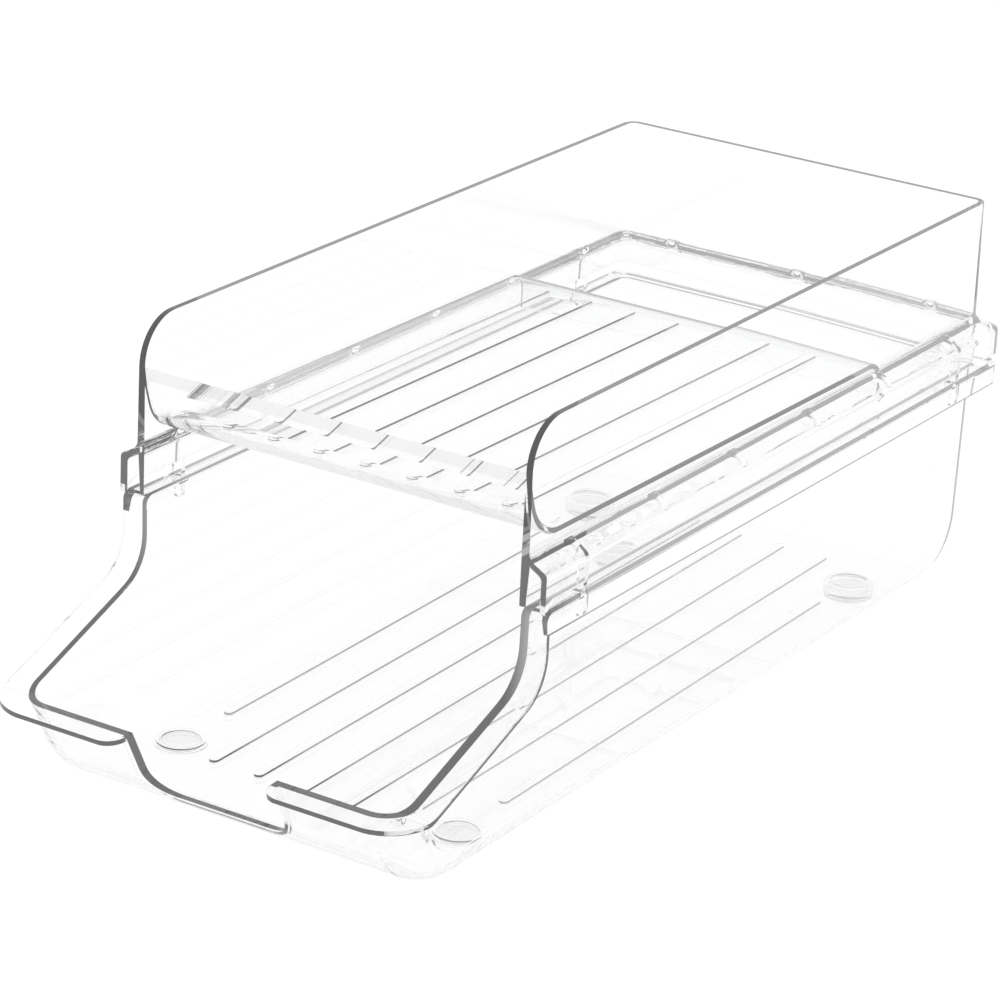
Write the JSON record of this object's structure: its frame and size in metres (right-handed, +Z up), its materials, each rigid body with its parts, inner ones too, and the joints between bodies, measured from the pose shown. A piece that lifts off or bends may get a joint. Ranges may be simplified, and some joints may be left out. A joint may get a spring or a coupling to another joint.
{
  "type": "rolling can dispenser",
  "caption": "Clear plastic two-tier rolling can dispenser: an upper bin with a ramp stands on a lower bin with a finger notch.",
  "frame": {"origin": "on the table, under the middle of the whole object's box", "axes": "+X across to the right, +Y from the open front to the back, +Z up"},
  "size_m": [0.162, 0.3722, 0.1412],
  "materials": {
    "clear_bin_lower": "clear moulded plastic, gloss",
    "clear_bin_upper": "clear moulded plastic, gloss",
    "clear_pad": "soft clear elastomer, satin"
  },
  "bodies": {
    "base": {"lower_bin": "clear_bin_lower", "foot_pad_front_left": "clear_pad", "foot_pad_front_right": "clear_pad", "foot_pad_back_left": "clear_pad", "foot_pad_back_right": "clear_pad"},
    "upper": {"upper_bin": "clear_bin_upper"}
  },
  "joints": [
    {"name": "upper_lift", "type": "slide", "parent": "base", "child": "upper", "axis": [0, 0, 1], "range_m": [0, 0.04]}
  ]
}
